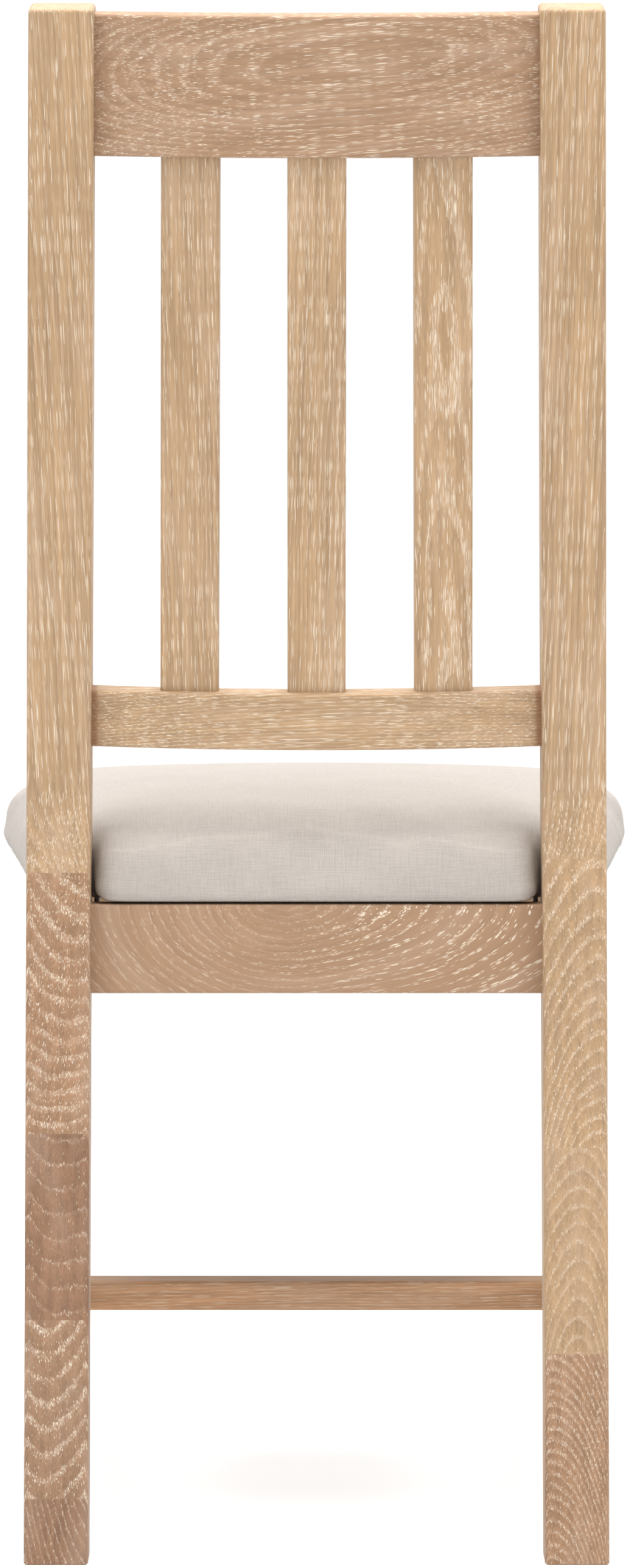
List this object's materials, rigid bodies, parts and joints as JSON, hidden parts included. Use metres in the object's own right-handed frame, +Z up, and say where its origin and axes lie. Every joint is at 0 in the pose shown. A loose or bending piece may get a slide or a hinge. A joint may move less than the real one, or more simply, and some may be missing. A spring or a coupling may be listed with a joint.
{
  "type": "dining chair",
  "caption": "High slat-back dining chair with a limed oak frame, bowed back rails, splayed rear legs, an H stretcher and an upholstered seat pad.",
  "frame": {"origin": "middle of the footprint box at floor level", "axes": "+Z up, the sitter faces -Y, +X towards the sitter's left"},
  "size_m": [0.4428, 0.5278, 1.0163],
  "materials": {
    "limed_oak": "limed and open-pored, satin",
    "corner_block_wood": "sawn and unfinished",
    "beech_dowel": "raw",
    "plywood": "sanded and unfinished",
    "seat_foam": "open-cell foam",
    "linen_cover": "plain woven linen-like cloth",
    "zinc_screw": "zinc plated",
    "staple_wire": "bright galvanised"
  },
  "bodies": {
    "root": {"apron_dowels": "beech_dowel", "back_slat_centre": "limed_oak", "back_slat_left": "limed_oak", "back_slat_right": "limed_oak", "corner_block_front_left": "corner_block_wood", "corner_block_front_right": "corner_block_wood", "corner_block_rear_left": "corner_block_wood", "corner_block_rear_right": "corner_block_wood", "corner_block_screws": "zinc_screw", "cover_staples": "staple_wire", "crest_rail": "limed_oak", "cross_stretcher": "limed_oak", "front_apron": "limed_oak", "front_leg_left": "limed_oak", "front_leg_right": "limed_oak", "lower_back_rail": "limed_oak", "rear_apron": "limed_oak", "rear_leg_board_left_1": "limed_oak", "rear_leg_board_left_2": "limed_oak", "rear_leg_board_left_3": "limed_oak", "rear_leg_board_left_4": "limed_oak", "rear_leg_board_right_1": "limed_oak", "rear_leg_board_right_2": "limed_oak", "rear_leg_board_right_3": "limed_oak", "rear_post_left": "limed_oak", "rear_post_right": "limed_oak", "seat_board": "plywood", "seat_cover": "linen_cover", "seat_fixing_screws": "zinc_screw", "seat_foam": "seat_foam", "side_apron_left": "limed_oak", "side_apron_right": "limed_oak", "side_stretcher_left": "limed_oak", "side_stretcher_right": "limed_oak"}
  },
  "joints": []
}
